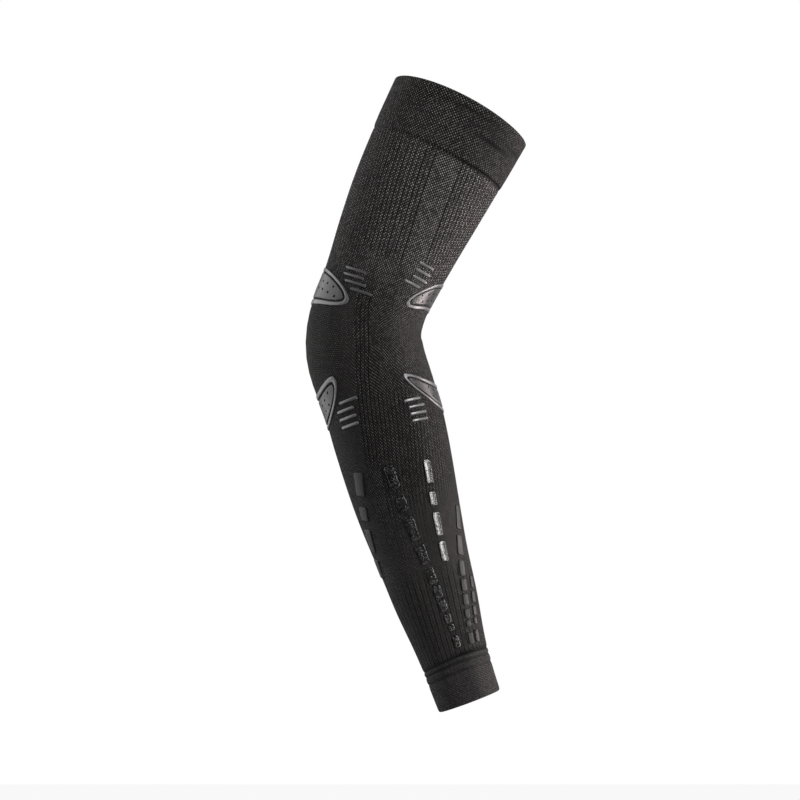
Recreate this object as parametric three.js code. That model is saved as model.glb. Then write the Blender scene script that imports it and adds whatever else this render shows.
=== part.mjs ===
// Arm compression sleeve: a tube knitted in three zones, with a turned band above, a turned cuff
// below and printed silicone grips, in the form that it has on a slightly bent arm.
// Millimetres, +Z up, +X towards the inside of the elbow, -Y towards the side that shows the print.
// The origin is the centre of the elbow, on the arm's axis. Stations are measured from there along
// the arm's axis: up the upper arm they are negative, down the forearm positive.

import * as THREE from 'three';

// Sizes along the arm
const upperLength = 158;
const forearmLength = 250;
const bandHeight = 35.5;
const cuffHeight = 28.5;

// How far from the elbow's centre, up and down the arm, the courses of the knit lie square to it
const elbowReach = 46;

// Sizes across the arm, seen square to the bend
const upperWidth = 95.5;
const elbowWidth = 74.6;
const wristWidth = 41;

// Lean of the upper arm towards +X going up, and bend of the forearm away from it, in degrees
const upperLeanDegrees = 24;
const elbowBendDegrees = 40.5;

// Walls: the tube is knitted single, the band and the cuff double
const knitWall = 1.2;
const weltWall = 2.0;
const seamGap = 0.3;

// How far the front and back of each edge lie below its sides, along the arm, and how far the
// cuff's seam drops from the inner side to the outer
const rimBow = -2.2;
const bandSeamBow = 0.4;
const cuffSeamBow = -2.4;
const wristBow = 0;
const cuffSeamSlant = 3.4;

// Printed silicone: its thickness and its clearance to the knit
const printThickness = 0.5;
const printGap = 0.3;

// Grip pads round the elbow
const padRingWidth = 2.6;
const padLineGap = 1.0;

// Grip bars beside each pad
const barsPerPad = 4;
const barLength = 14;
const barWidth = 1.9;
const barPitch = 4.8;
const barClearance = 2.0;
const barRise = 3.0;
const barStart = 0.76;

// Grip dashes down the forearm
const dashWidth = 5.2;
const dashLength = 15.6;

// Facets
const tubeSides = 36;
const padSides = 32;

// The arm's sections.
// along: share of the upper arm's length (minus) or of the forearm's length (plus)
// turn: share of the elbow's bend; spread: share of the way from the elbow's width to the rim's
// depth: front to back as a share of the width; point: share by which the outer side narrows
const ARM_SECTIONS = [
  { along: -1.0, turn: -0.08, spread: 1.0, depth: 0.94, point: 0.0 },
  { along: -0.79, turn: -0.074, spread: 0.83, depth: 0.94, point: 0.0 },
  { along: -0.58, turn: -0.03, spread: 0.59, depth: 0.95, point: 0.02 },
  { along: -0.38, turn: 0.02, spread: 0.26, depth: 0.98, point: 0.05 },
  { along: -0.18, turn: 0.05, spread: -0.08, depth: 1.06, point: 0.12 },
  { along: -0.09, turn: 0.13, spread: -0.07, depth: 1.07, point: 0.16 },
  { along: 0.0, turn: 0.42, spread: 0.0, depth: 1.08, point: 0.18 },
  { along: 0.06, turn: 0.85, spread: -0.05, depth: 1.06, point: 0.15 },
  { along: 0.12, turn: 1.07, spread: -0.03, depth: 1.06, point: 0.1 },
  { along: 0.2, turn: 1.02, spread: 0.0, depth: 1.07, point: 0.06 },
  { along: 0.28, turn: 0.95, spread: 0.01, depth: 1.07, point: 0.04 },
  { along: 0.4, turn: 0.94, spread: 0.12, depth: 1.07, point: 0.03 },
  { along: 0.51, turn: 0.985, spread: 0.28, depth: 1.07, point: 0.0 },
  { along: 0.62, turn: 1.015, spread: 0.47, depth: 1.09, point: 0.0 },
  { along: 0.73, turn: 1.027, spread: 0.62, depth: 1.12, point: 0.0 },
  { along: 0.84, turn: 1.03, spread: 0.84, depth: 1.17, point: 0.0 },
  { along: 0.92, turn: 1.05, spread: 0.95, depth: 1.23, point: 0.0 },
  { along: 1.0, turn: 1.1, spread: 1.0, depth: 1.28, point: 0.0 },
];

// Knit zones of the tube, from the band down. until: where a zone ends, as a share of the upper
// arm's length (minus) or of the forearm's length (plus), the last one at the cuff;
// rings: rows of facets along it
const KNIT_ZONES = [
  { name: 'upper_arm_knit', until: -0.33, rings: 7 },
  { name: 'elbow_knit', until: 0.28, rings: 20 },
  { name: 'forearm_knit', until: 1.0, rings: 10 },
];

// Profile of the band from the rim down: share of its height, and how proud it stands of the
// arm's section as a share of its wall
const BAND_PROFILE = [
  { along: 0.0, proud: 0.05 },
  { along: 0.04, proud: 0.3 },
  { along: 0.3, proud: 0.35 },
  { along: 0.75, proud: 0.35 },
  { along: 0.95, proud: 0.25 },
  { along: 1.0, proud: 0.0 },
];

// Profile of the cuff from its seam down: a rib, a groove, the fold line and the plain cuff
const CUFF_PROFILE = [
  { along: 0.0, proud: 0.0 },
  { along: 0.06, proud: 0.3 },
  { along: 0.15, proud: 0.1 },
  { along: 0.27, proud: 0.4 },
  { along: 0.35, proud: 0.12 },
  { along: 0.6, proud: 0.2 },
  { along: 0.95, proud: 0.2 },
  { along: 1.0, proud: 0.0 },
];

// Grip pads: bean shapes centred on the outer (-1) or inner (+1) line of the arm.
// along: share of the upper arm's or forearm's length; halfSpan: half the length round the arm and
// halfHeight: half the height, as shares of the elbow's width; droop: how far the two ends turn
// towards the elbow, as a share of halfSpan
const PADS = [
  { name: 'upper_outer', side: -1, along: -0.115, halfSpan: 0.54, halfHeight: 0.165, droop: 0.2 },
  { name: 'upper_inner', side: 1, along: -0.235, halfSpan: 0.52, halfHeight: 0.14, droop: 0.36 },
  { name: 'lower_outer', side: -1, along: 0.176, halfSpan: 0.46, halfHeight: 0.15, droop: 0.4 },
  { name: 'lower_inner', side: 1, along: 0.23, halfSpan: 0.6, halfHeight: 0.125, droop: 0.42 },
];

// Stations of the grip dashes, shared by all rows. along: share of the forearm's length;
// length and width: shares of the first dash's
const DASHES = [
  { along: 0.402, length: 1.0, width: 1.0 },
  { along: 0.474, length: 0.6, width: 1.0 },
  { along: 0.541, length: 1.0, width: 1.0 },
  { along: 0.613, length: 0.84, width: 1.0 },
  { along: 0.673, length: 0.66, width: 0.9 },
  { along: 0.716, length: 0.52, width: 0.85 },
  { along: 0.754, length: 0.48, width: 0.8 },
  { along: 0.789, length: 0.4, width: 0.74 },
  { along: 0.815, length: 0.28, width: 0.68 },
  { along: 0.853, length: 0.5, width: 0.68 },
];

// Rows of grip dashes. top, middle and bottom: angle from the front line towards the inner side at
// the first station, half way and at the last, in degrees; drop: how far the row lies below the
// stations, as a share of the forearm's length; wide: its width as a share of the dashes'; first
// and last: the dashes it has
const ROWS = [
  { name: 'row_a', top: -50, middle: -81, bottom: -118, drop: -0.008, wide: 1.6, first: 1, last: 4 },
  { name: 'row_b', top: -9, middle: 0.5, bottom: 9.5, drop: 0, wide: 1.15, first: 1, last: 10 },
  { name: 'row_c', top: 30, middle: 26, bottom: 22, drop: 0.008, wide: 1, first: 1, last: 4 },
  { name: 'row_d', top: 86, middle: 54, bottom: 35, drop: 0.003, wide: 1.15, first: 3, last: 10 },
  { name: 'row_e', top: 115, middle: 77, bottom: 49, drop: 0, wide: 1, first: 6, last: 10 },
];

const degrees = Math.PI / 180;
const stationOf = (along) => along * (along < 0 ? upperLength : forearmLength);

// Each section at its real size
const sections = ARM_SECTIONS.map(({ along, turn, spread, depth, point }) => {
  const rimWidth = along < 0 ? upperWidth : wristWidth;
  const width = elbowWidth + (rimWidth - elbowWidth) * spread;
  const lean = (elbowBendDegrees * turn - upperLeanDegrees) * degrees;
  return { station: stationOf(along), lean, halfWidth: width / 2, halfDepth: (width * depth) / 2, point };
});

// Reads a column of the sections at a station, on a smooth curve through the rows
function section(column, station) {
  const last = sections.length - 1;
  if (station <= sections[0].station) return sections[0][column];
  if (station >= sections[last].station) return sections[last][column];
  const i = sections.findIndex((row) => row.station > station) - 1;
  const slope = (j) => {
    const before = sections[Math.max(j - 1, 0)];
    const after = sections[Math.min(j + 1, last)];
    return (after[column] - before[column]) / (after.station - before.station);
  };
  const [low, high] = [sections[i], sections[i + 1]];
  const step = high.station - low.station;
  const t = (station - low.station) / step;
  const ease = t * t * (3 - 2 * t);
  return (
    low[column] + (high[column] - low[column]) * ease
    + step * t * (1 - t) * (slope(i) * (1 - t) - slope(i + 1) * t)
  );
}

// The arm's axis, walked from the elbow in short steps both ways along its lean
const axisStep = 1;
function walkAxis(direction, length) {
  const points = [new THREE.Vector3()];
  for (let i = 0; i * axisStep < length; i++) {
    const lean = section('lean', direction * (i + 0.5) * axisStep);
    const step = new THREE.Vector3(Math.sin(lean), 0, -Math.cos(lean)).multiplyScalar(direction * axisStep);
    points.push(points[i].clone().add(step));
  }
  return points;
}
const axisSpare = 12;
const upperAxis = walkAxis(-1, upperLength + axisSpare);
const forearmAxis = walkAxis(1, forearmLength + axisSpare);

function axisPoint(station) {
  const points = station < 0 ? upperAxis : forearmAxis;
  const place = Math.abs(station) / axisStep;
  const i = Math.min(Math.floor(place), points.length - 2);
  return points[i].clone().lerp(points[i + 1], place - i);
}

// The lines round the arm bow and slant as the rims and seams do, and lie square to the axis at
// the elbow
const lines = [
  { station: -upperLength, bow: rimBow, slant: 0 },
  { station: -upperLength + bandHeight, bow: bandSeamBow, slant: 0 },
  { station: -elbowReach, bow: 0, slant: 0 },
  { station: elbowReach, bow: 0, slant: 0 },
  { station: forearmLength - cuffHeight, bow: cuffSeamBow, slant: cuffSeamSlant },
  { station: forearmLength, bow: wristBow, slant: 0 },
];

// How far down the arm the line at a station lies at an angle
function lineDrop(station, angle) {
  const dropOf = ({ bow, slant }) => bow * Math.cos(angle) ** 2 - (slant / 2) * Math.sin(angle);
  const i = lines.findIndex((line) => line.station > station);
  if (i === 0) return dropOf(lines[0]);
  if (i < 0) return dropOf(lines[lines.length - 1]);
  const t = (station - lines[i - 1].station) / (lines[i].station - lines[i - 1].station);
  return dropOf(lines[i - 1]) * (1 - t) + dropOf(lines[i]) * t;
}

// A point of the arm's bare form. angle runs from the front line (-Y) towards the inner side (+X)
function form(station, angle) {
  const dropped = station + lineDrop(station, angle);
  const lean = section('lean', dropped);
  const across = section('halfWidth', dropped) * Math.sin(angle);
  const narrowed = 1 + section('point', dropped) * Math.sin(angle);
  const outwards = section('halfDepth', dropped) * Math.cos(angle) * narrowed;
  const centre = axisPoint(dropped);
  return new THREE.Vector3(
    centre.x + across * Math.cos(lean),
    -outwards,
    centre.z + across * Math.sin(lean),
  );
}

// A point at a height above the form, square to it, and below it where the height is negative
function skin(station, angle, height) {
  const nudge = 0.05;
  const turn = nudge / section('halfWidth', station);
  const along = form(station + nudge, angle).sub(form(station - nudge, angle));
  const round = form(station, angle + turn).sub(form(station, angle - turn));
  const normal = round.cross(along).normalize();
  return form(station, angle).addScaledVector(normal, -height);
}

// Turns rows of points and triangles into a geometry
function geometryOf(points, triangles) {
  const geometry = new THREE.BufferGeometry();
  const numbers = points.flatMap((point) => point.toArray());
  geometry.setAttribute('position', new THREE.Float32BufferAttribute(numbers, 3));
  geometry.setIndex(triangles.flat());
  geometry.computeVertexNormals();
  return geometry;
}

// A closed ring round the arm: its wall's outline, in order, swept round the sections
function ringSolid(outline) {
  const points = [];
  for (let side = 0; side < tubeSides; side++) {
    const angle = (side / tubeSides) * 2 * Math.PI;
    outline.forEach(({ station, height }) => points.push(skin(station, angle, height)));
  }
  const triangles = [];
  const count = outline.length;
  for (let side = 0; side < tubeSides; side++) {
    const next = (side + 1) % tubeSides;
    for (let i = 0; i < count; i++) {
      const j = (i + 1) % count;
      const [a, b] = [side * count + i, side * count + j];
      const [c, d] = [next * count + i, next * count + j];
      triangles.push([a, b, c], [c, b, d]);
    }
  }
  return geometryOf(points, triangles);
}

// The outline of a turned welt: the profile on its outside, the wall's inner face behind it
function weltOutline(profile, start, height, wall) {
  const outside = profile.map(({ along, proud }) => ({ station: start + along * height, height: proud * wall }));
  const inside = outside.map(({ station }) => ({ station, height: -wall })).reverse();
  return [...outside, ...inside];
}

const bandStart = -upperLength;
const cuffStart = forearmLength - cuffHeight;

function bandSolid() {
  return ringSolid(weltOutline(BAND_PROFILE, bandStart, bandHeight, weltWall));
}

function cuffSolid() {
  return ringSolid(weltOutline(CUFF_PROFILE, cuffStart, cuffHeight, weltWall));
}

function zoneSolid(start, end, rings) {
  const stations = Array.from({ length: rings + 1 }, (_, i) => start + ((end - start) * i) / rings);
  const outside = stations.map((station) => ({ station, height: 0 }));
  const inside = stations.map((station) => ({ station, height: -knitWall })).reverse();
  return ringSolid([...outside, ...inside]);
}

// Lays flat shapes on the form, at a place: x runs round the arm, from the front line towards the
// inner side, and y up the arm, both in millimetres
function layAt(station, angle) {
  const reach = 0.5;
  const turn = reach / elbowWidth;
  const round = form(station, angle + turn).distanceTo(form(station, angle - turn));
  const along = form(station + reach, angle).distanceTo(form(station - reach, angle));
  return (x, y, height) => skin(station - (2 * reach * y) / along, angle + (2 * turn * x) / round, height);
}

const printLow = printGap;
const printHigh = printGap + printThickness;

// A printed sheet on the knit, drawn as columns of points from left to right, each from the
// bottom up
function printSolid(lay, columns) {
  const rows = columns[0].length;
  const top = columns.length * rows;
  const points = [printLow, printHigh].flatMap((height) => columns.flat().map(([x, y]) => lay(x, y, height)));
  const triangles = [];
  const wall = (a, b) => triangles.push([a, b, b + top], [a, b + top, a + top]);
  for (let left = 0; left < top - rows; left += rows) {
    for (let row = 0; row + 1 < rows; row++) {
      const a = left + row;
      const b = a + rows;
      triangles.push([a, b + 1, b], [a, a + 1, b + 1]);
      triangles.push([top + a, top + b, top + b + 1], [top + a, top + b + 1, top + a + 1]);
    }
    wall(left, left + rows);
    wall(left + 2 * rows - 1, left + rows - 1);
  }
  for (let row = 0; row + 1 < rows; row++) {
    wall(row + 1, row);
    wall(top - rows + row, top - rows + row + 1);
  }
  return geometryOf(points, triangles);
}

// A printed line on the knit that closes on itself, between two outlines of equal count
function lineSolid(lay, outer, inner) {
  const count = outer.length;
  const loops = [[outer, printLow], [outer, printHigh], [inner, printHigh], [inner, printLow]];
  const points = loops.flatMap(([outline, height]) => outline.map(([x, y]) => lay(x, y, height)));
  const triangles = [];
  for (let loop = 0; loop < loops.length; loop++) {
    const [here, next] = [loop * count, ((loop + 1) % loops.length) * count];
    for (let i = 0; i < count; i++) {
      const j = (i + 1) % count;
      triangles.push([here + i, here + j, next + j], [here + i, next + j, next + i]);
    }
  }
  return geometryOf(points, triangles);
}

// The middle line and half height of a pad's bean shape at a turn of its outline, drawn in by a
// margin: the ends of the bean droop
function beanAt({ halfSpan, halfHeight, droop }, turn, margin) {
  const span = halfSpan * elbowWidth;
  const x = (span - margin) * Math.cos(turn);
  return { x, middle: -droop * span * (x / span) ** 2, half: (halfHeight * elbowWidth - margin) * Math.sin(turn) };
}

// Lays a pad's shapes: x towards the front from the line that the pad is centred on, y away from
// the elbow
function layPad({ side, along }) {
  const lay = layAt(stationOf(along), (side * Math.PI) / 2);
  return (x, y, height) => lay(-side * x, -Math.sign(along) * y, height);
}

// Keeps the turn of a pad's outline or columns where its lay is a mirrored one
function inTurn({ side, along }, list) {
  return side * along > 0 ? list : [...list].reverse();
}

function padRing(pad) {
  const outline = (margin) => inTurn(pad, Array.from({ length: padSides }, (_, i) => {
    const { x, middle, half } = beanAt(pad, (i / padSides) * 2 * Math.PI, margin);
    return [x, middle + half];
  }));
  return lineSolid(layPad(pad), outline(0), outline(padRingWidth));
}

function padCore(pad) {
  const columns = [];
  const count = padSides / 2;
  const blunt = 0.5 / count;
  for (let i = 0; i <= count; i++) {
    const share = blunt + ((1 - 2 * blunt) * i) / count;
    const { x, middle, half } = beanAt(pad, (1 - share) * Math.PI, padRingWidth + padLineGap);
    columns.push([-1, -0.5, 0, 0.5, 1].map((row) => [x, middle + row * half]));
  }
  return printSolid(layPad(pad), inTurn(pad, columns));
}

// The columns of a short printed strip with blunted ends, along x, in steps that follow the form
function stripColumns(length, width, steps) {
  const blunt = Math.min(0.4 * width, 0.3 * length);
  const column = (x, share) => [[x, (-share * width) / 2], [x, (share * width) / 2]];
  const straight = Array.from({ length: steps + 1 }, (_, i) => {
    return column((length / 2 - blunt) * ((2 * i) / steps - 1), 1);
  });
  return [column(-length / 2, 0.5), ...straight, column(length / 2, 0.5)];
}

// How far from the pad's centre line its upper edge has come down to a height
function beanEdge(pad, height) {
  const steps = 60;
  for (let i = 0; i < steps; i++) {
    const { x, middle, half } = beanAt(pad, (i / steps) * (Math.PI / 2), 0);
    if (middle + half >= height) return x;
  }
  return 0;
}

// Bar number i of a pad, on the front: the bars are of one length, and each starts clear of the
// pad's edge
function padBar(pad, i) {
  const height = pad.halfHeight * elbowWidth + barRise - i * barPitch;
  const edge = beanEdge(pad, height - barWidth / 2 - barClearance) + barClearance;
  const start = Math.max(edge, barStart * pad.halfSpan * elbowWidth);
  const columns = stripColumns(barLength, barWidth, 2).map((column) => (
    column.map(([x, y]) => [start + barLength / 2 + x, height + y])
  ));
  return printSolid(layPad(pad), inTurn(pad, columns));
}

// The angle of a row at a share of the forearm, on a parabola through its three angles
function rowAngle({ top, middle, bottom }, along) {
  const [start, end] = [DASHES[0].along, DASHES[DASHES.length - 1].along];
  const t = (2 * (along - start)) / (end - start) - 1;
  return (middle + ((bottom - top) / 2) * t + ((bottom + top) / 2 - middle) * t * t) * degrees;
}

// A dash of a row, laid along the row's own line
function rowDash(row, i) {
  const dash = DASHES[i];
  const along = dash.along + row.drop;
  const station = stationOf(along);
  const reach = 0.02;
  const drift = rowAngle(row, along + reach) - rowAngle(row, along - reach);
  const turn = Math.atan2(2 * reach * forearmLength, -drift * section('halfWidth', station));
  const [across, up] = [Math.cos(turn), Math.sin(turn)];
  const lay = layAt(station, rowAngle(row, along));
  const turned = (x, y, height) => lay(x * across - y * up, x * up + y * across, height);
  const width = dash.width * row.wide * dashWidth;
  return printSolid(turned, stripColumns(dash.length * dashLength, width, 1));
}

// Finishes
const knit = new THREE.MeshStandardMaterial({ color: 0x3b3b3d, roughness: 0.9, metalness: 0 });
const welt = new THREE.MeshStandardMaterial({ color: 0x343436, roughness: 0.9, metalness: 0 });
const silicone = new THREE.MeshStandardMaterial({ color: 0x77777a, roughness: 0.45, metalness: 0 });

// The assembly
const sleeve = new THREE.Group();
function addPiece(name, geometry, material) {
  const mesh = new THREE.Mesh(geometry, material);
  mesh.name = name;
  sleeve.add(mesh);
}

addPiece('upper_band', bandSolid(), welt);
let zoneStart = bandStart + bandHeight + seamGap;
for (const { name, until, rings } of KNIT_ZONES) {
  const border = Math.min(stationOf(until), cuffStart);
  addPiece(name, zoneSolid(zoneStart, border - seamGap, rings), knit);
  zoneStart = border;
}
addPiece('wrist_cuff', cuffSolid(), welt);

for (const pad of PADS) {
  addPiece(`${pad.name}_pad_ring`, padRing(pad), silicone);
  addPiece(`${pad.name}_pad_core`, padCore(pad), silicone);
  for (let i = 0; i < barsPerPad; i++) addPiece(`${pad.name}_bar_${i + 1}`, padBar(pad, i), silicone);
}

for (const row of ROWS) {
  for (let i = row.first - 1; i < row.last; i++) {
    addPiece(`${row.name}_dash_${i + 1}`, rowDash(row, i), silicone);
  }
}

export default sleeve;
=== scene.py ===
# An arm compression sleeve in its worn form: a tube knitted in one piece, a turned band above it,
# a turned cuff below it, and printed silicone grips. Sizes are in millimetres until a mesh is placed.

import math

import bmesh
import bpy
import numpy as np
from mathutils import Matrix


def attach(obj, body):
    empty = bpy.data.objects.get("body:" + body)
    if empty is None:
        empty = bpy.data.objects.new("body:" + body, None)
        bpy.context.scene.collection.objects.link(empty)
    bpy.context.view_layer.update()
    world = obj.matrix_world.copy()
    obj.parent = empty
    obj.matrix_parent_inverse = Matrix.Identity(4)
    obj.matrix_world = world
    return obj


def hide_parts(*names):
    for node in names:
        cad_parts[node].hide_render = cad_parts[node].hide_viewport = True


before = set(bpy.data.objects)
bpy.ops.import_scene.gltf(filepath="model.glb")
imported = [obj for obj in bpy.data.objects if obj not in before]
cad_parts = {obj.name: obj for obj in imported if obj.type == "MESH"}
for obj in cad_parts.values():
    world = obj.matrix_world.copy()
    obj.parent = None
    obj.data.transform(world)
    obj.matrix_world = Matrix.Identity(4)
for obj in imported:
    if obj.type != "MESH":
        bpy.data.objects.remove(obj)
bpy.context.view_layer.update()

MM = 0.001

# Corners of a piece that lie nearer than this are joined
MERGE_DISTANCE = 0.01

# Sizes along the arm
UPPER_LENGTH = 158.0
FOREARM_LENGTH = 250.0
BAND_HEIGHT = 35.5
CUFF_HEIGHT = 28.5
ELBOW_REACH = 46.0

# Sizes across the arm, seen square to the bend
UPPER_WIDTH = 95.5
ELBOW_WIDTH = 74.6
WRIST_WIDTH = 41.0

# Lean of the upper arm and bend of the forearm
UPPER_LEAN = math.radians(24)
ELBOW_BEND = math.radians(40.5)

# Walls
KNIT_WALL = 1.2
WELT_WALL = 2.0

# The knit. A wale is a column of stitches down the arm, and a course is a row of them round it:
# the wales round the tube, the height of a course, and the wales from one rib to the next. Both are
# drawn about half as coarse again as the real ones, which would be too fine to show
WALES = 270
COURSE = 1.0
WALES_PER_RIB = 6
WALE_ANGLE = 2 * math.pi / WALES

# How brightly a single stitch is painted, as a painted glint that differs at random from stitch to
# stitch: the least, how far the brightest goes past that, and the share that a stitch keeps where
# it is held back behind its neighbours, in painted shade
STITCH_LEAST = 0.5
STITCH_SPREAD = 1.4
STITCH_HELD = 0.05

# The arm's sections. along: share of the upper arm's length (minus) or the forearm's (plus);
# turn: share of the elbow's bend; spread: share of the way from the elbow's width to the rim's;
# depth: front to back as a share of the width; point: share by which the outer side narrows;
# twist: how far the wales turn round the arm from where they lie at the elbow, in degrees
SECTION_COLUMNS = ("along", "turn", "spread", "depth", "point", "twist")
ARM_SECTIONS = (
    (-1.00, -0.080, 1.00, 0.94, 0.00, -22),
    (-0.79, -0.074, 0.83, 0.94, 0.00, -16.5),
    (-0.58, -0.030, 0.59, 0.95, 0.02, -11),
    (-0.38, 0.020, 0.26, 0.98, 0.05, -5),
    (-0.18, 0.050, -0.08, 1.06, 0.12, -1),
    (-0.09, 0.130, -0.07, 1.07, 0.16, 0),
    (0.00, 0.420, 0.00, 1.08, 0.18, 4),
    (0.06, 0.850, -0.05, 1.06, 0.15, 4),
    (0.12, 1.070, -0.03, 1.06, 0.10, -3),
    (0.20, 1.020, 0.00, 1.07, 0.06, -11),
    (0.28, 0.950, 0.01, 1.07, 0.04, -16),
    (0.40, 0.940, 0.12, 1.07, 0.03, -23),
    (0.51, 0.985, 0.28, 1.07, 0.00, -28),
    (0.62, 1.015, 0.47, 1.09, 0.00, -31),
    (0.73, 1.027, 0.62, 1.12, 0.00, -34),
    (0.84, 1.030, 0.84, 1.17, 0.00, -37),
    (0.92, 1.050, 0.95, 1.23, 0.00, -39),
    (1.00, 1.100, 1.00, 1.28, 0.00, -41),
)

# How the lines round the arm bow and slant: station, bow of the front and back down the arm,
# drop from the inner side to the outer
ARM_LINES = (
    (-UPPER_LENGTH, -2.2, 0.0),
    (-UPPER_LENGTH + BAND_HEIGHT, 0.4, 0.0),
    (-ELBOW_REACH, 0.0, 0.0),
    (ELBOW_REACH, 0.0, 0.0),
    (FOREARM_LENGTH - CUFF_HEIGHT, -2.4, 3.4),
    (FOREARM_LENGTH, 0.0, 0.0),
)

# Ribbed panels of the tube. top and bottom: shares along the arm, as in the sections; start and
# end: angles of the panel's outer wales from the front line towards the inner side, in degrees, as
# they lie at the elbow; groove and second: how much the two sunk wales of each rib are held back,
# both sunk into the knit and painted darker as shade
RIB_COLUMNS = ("top", "bottom", "start", "end", "groove", "second")
RIB_PANELS = (
    (-0.78, -0.26, -180, -26, 0.70, 0.60),
    (-0.77, -0.28, -26, 19, 0.80, 0.65),
    (-0.77, -0.26, 38, 180, 0.85, 0.70),
    (-0.16, 0.36, -14, 2, 0.70, 0.60),
    (0.18, 0.50, 2, 180, 0.60, 0.55),
    (0.36, 0.62, 2, 60, 0.35, 0.30),
    (0.66, 0.90, -180, 180, 0.72, 0.20),
)

# How deep and how broad (in wales) a sunk wale lies, and which wales of a rib are the sunk ones,
# counted round from the back
GROOVE_DEPTH = 0.36
GROOVE_BREADTH = 0.8
FIRST_WALE = 3
SECOND_WALE = 0

# The tube stands this high over the arm's form, and its ends tuck this far under the band and the
# cuff, and this deep
KNIT_STAND = 0.08
TUCK_LENGTH = 1.6
TUCK_DEPTH = 0.9

# Round the elbow the courses zigzag: wales in one arm of the zigzag, how many courses it rises, and
# the station of its middle and its reach up and down the arm
ZIGZAG_WALES = 10
ZIGZAG_RISE = 1.5
ZIGZAG_MIDDLE = 10
ZIGZAG_REACH = 55

# The tube's smooth panel on the outer side: top, bottom, start and end, as in the ribbed panels, and
# how much less the stitches stand out there
SMOOTH_PANEL = (-0.15, 0.60, -150, -14)
SMOOTHING = 0.6

# The knit's look down the arm: station; lively, how much the stitches stand out from each other;
# tone, how much lighter the stitches are painted there, as painted glint, most on the upper arm
KNIT_LOOK = (
    (-UPPER_LENGTH, 1.00, 1.72),
    (-55, 1.00, 1.54),
    (-20, 1.00, 0.75),
    (60, 0.95, 0.60),
    (110, 0.90, 0.57),
    (150, 0.35, 0.78),
    (FOREARM_LENGTH, 0.20, 0.94),
)

# How deep a fold or a sunk line of the band or the cuff lies, where its own depth is 1
WELT_SINK = 0.4

# Soft folds of the band: how far they lie below the rim and their breadth, the angle of their
# middle and their reach to each side in degrees, and their depth, by which each is sunk and
# painted darker, as painted shadow in the fold
FOLD_COLUMNS = ("below", "breadth", "angle", "reach", "depth")
BAND_FOLDS = (
    (6.5, 1.8, 6, 32, 0.62),
    (11.5, 1.6, 22, 22, 0.34),
    (17.0, 1.8, 40, 26, 0.56),
    (12.5, 1.8, 68, 20, 0.45),
    (10.0, 2.2, 130, 28, 0.40),
)

# Sunk lines round the cuff: how far they lie below its top, their breadth and their depth, by
# which each is sunk and painted darker, as painted shadow in the line
CUFF_LINES = (
    (0.2, 1.1, 1.4),
    (4.2, 0.9, 0.75),
    (9.2, 0.9, 0.5),
)

# Grip pads: bean shapes centred on the outer (-1) or inner (+1) line of the arm. along: share of
# the arm's length; half_span and half_height: shares of the elbow's width; droop: how far the two
# ends turn towards the elbow, as a share of the half span
PAD_COLUMNS = ("name", "side", "along", "half_span", "half_height", "droop")
PADS = (
    ("upper_outer", -1, -0.115, 0.54, 0.165, 0.20),
    ("upper_inner", 1, -0.235, 0.52, 0.14, 0.36),
    ("lower_outer", -1, 0.176, 0.46, 0.15, 0.40),
    ("lower_inner", 1, 0.23, 0.60, 0.125, 0.42),
)
PAD_RING_WIDTH = 2.6
PAD_LINE_GAP = 1.0
FIELD_MARGIN = PAD_RING_WIDTH + PAD_LINE_GAP

# The holes in a pad's field: their width, how far apart they and their two rows are, the least room
# from a hole's middle to the field's edge, and the most holes to each side of the pad's middle
HOLE_WIDTH = 1.6
HOLE_PITCH = 6.4
HOLE_ROW_PITCH = 5.0
HOLE_ROOM = 1.8
MOST_HOLES = 6

# Grip bars beside each pad
BARS_PER_PAD = 4
BAR_LENGTH = 14.0
BAR_WIDTH = 1.9
BAR_PITCH = 4.8
BAR_CLEARANCE = 2.0
BAR_RISE = 3.0
BAR_START = 0.76

# Grip dashes down the forearm: share along it, and shares of the first dash's length and width
DASH_WIDTH = 5.2
DASH_LENGTH = 15.6
DASHES = (
    (0.402, 1.0, 1.0),
    (0.474, 0.6, 1.0),
    (0.541, 1.0, 1.0),
    (0.613, 0.84, 1.0),
    (0.673, 0.66, 0.9),
    (0.716, 0.52, 0.85),
    (0.754, 0.48, 0.8),
    (0.789, 0.4, 0.74),
    (0.815, 0.28, 0.68),
    (0.853, 0.5, 0.68),
)

# Rows of grip dashes. top, middle and bottom: angles from the front line towards the inner side at
# the first station, half way and at the last; drop: how far the row lies below the stations, as a
# share of the forearm's length; wide: its width as a share of the dashes'; first and last: the
# dashes it has
ROW_COLUMNS = ("name", "top", "middle", "bottom", "drop", "wide", "first", "last")
ROWS = (
    ("row_a", -50, -81, -118, -0.008, 1.6, 1, 4),
    ("row_b", -9, 0.5, 9.5, 0, 1.15, 1, 10),
    ("row_c", 30, 26, 22, 0.008, 1, 1, 4),
    ("row_d", 86, 54, 35, 0.003, 1.15, 3, 10),
    ("row_e", 115, 77, 49, 0, 1, 6, 10),
)

# The rows on the front are printed thicker, so they shine most
THICK_ROWS = ("row_b", "row_c")

# Printed silicone: how deep it sinks into the knit, how high its crown stands, how far the crown's
# edge is rounded, and the radius of a strip's corners
PRINT_SINK = 0.15
PRINT_CROWN = 0.75
PRINT_ROUNDING = 0.45
STRIP_CORNER = 1.3

# The stitches below press pimples up into the silicone, this far apart
PIMPLE_PITCH = 1.0


# The arm's form

def station_of(along):
    """The distance down the arm from the elbow's centre, which is minus on the upper arm."""
    return along * (UPPER_LENGTH if along < 0 else FOREARM_LENGTH)


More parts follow.
